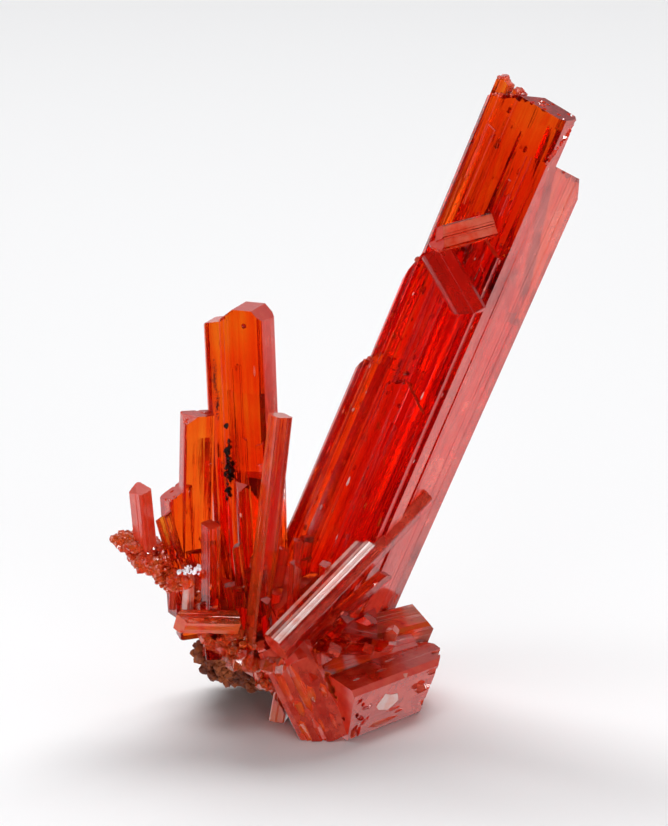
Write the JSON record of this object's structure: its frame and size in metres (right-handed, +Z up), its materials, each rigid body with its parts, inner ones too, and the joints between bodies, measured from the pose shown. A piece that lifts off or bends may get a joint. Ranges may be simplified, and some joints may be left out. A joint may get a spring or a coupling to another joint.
{
  "type": "crocoite crystal cluster",
  "caption": "Hand specimen of crocoite: long striated orange-red prisms, upright and leaning, grown from one shared root on a scrap of brown gossan.",
  "frame": {"origin": "middle of the bounding box in plan, on the resting plane", "axes": "+Z up, +X to the side the long bundle leans to, +Y from the front with the crossing diagonal crystal to the back"},
  "size_m": [0.0358, 0.0172, 0.049],
  "materials": {
    "crocoite": "clear to translucent deep orange-red crystal, striated along its length, with a glassy to adamantine shine",
    "gossan": "dull brown to orange-brown iron oxide, knobbly and porous"
  },
  "bodies": {
    "root": {"crystals": "crocoite", "matrix": "gossan"}
  },
  "joints": []
}
